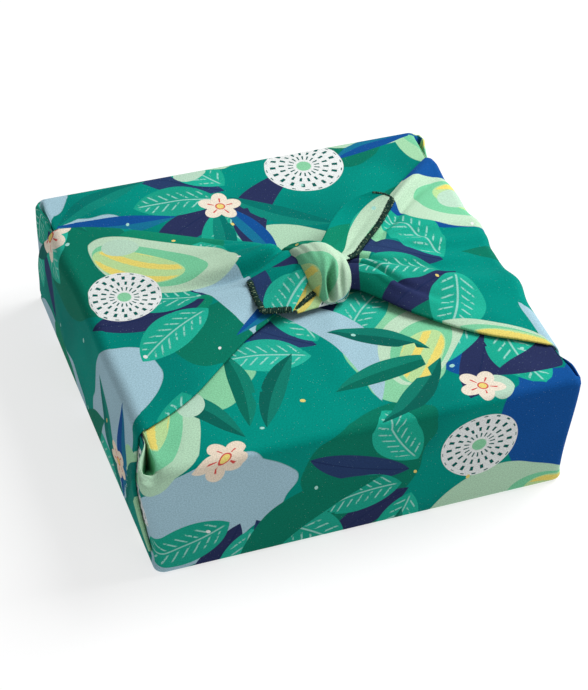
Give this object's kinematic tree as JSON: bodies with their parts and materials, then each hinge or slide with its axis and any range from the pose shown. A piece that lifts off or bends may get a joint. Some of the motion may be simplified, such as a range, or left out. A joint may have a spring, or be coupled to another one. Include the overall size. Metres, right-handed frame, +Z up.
{
  "type": "furoshiki wrap on a gift box",
  "caption": "Square cloth folded round a low square gift box and tied on its lid, with pleated corners, crossed side flaps, a knot and free ends.",
  "frame": {"origin": "centre of the parcel's flat underside, which rests on the floor", "axes": "+Z up; +X along the front edge, to the right as seen from the front; +Y from the front to the back"},
  "size_m": [0.2612, 0.25, 0.108],
  "materials": {
    "cloth": "matt printed cotton twill",
    "box": "plain uncoated card"
  },
  "bodies": {
    "root": {"cloth": "cloth", "box": "box"}
  },
  "joints": []
}
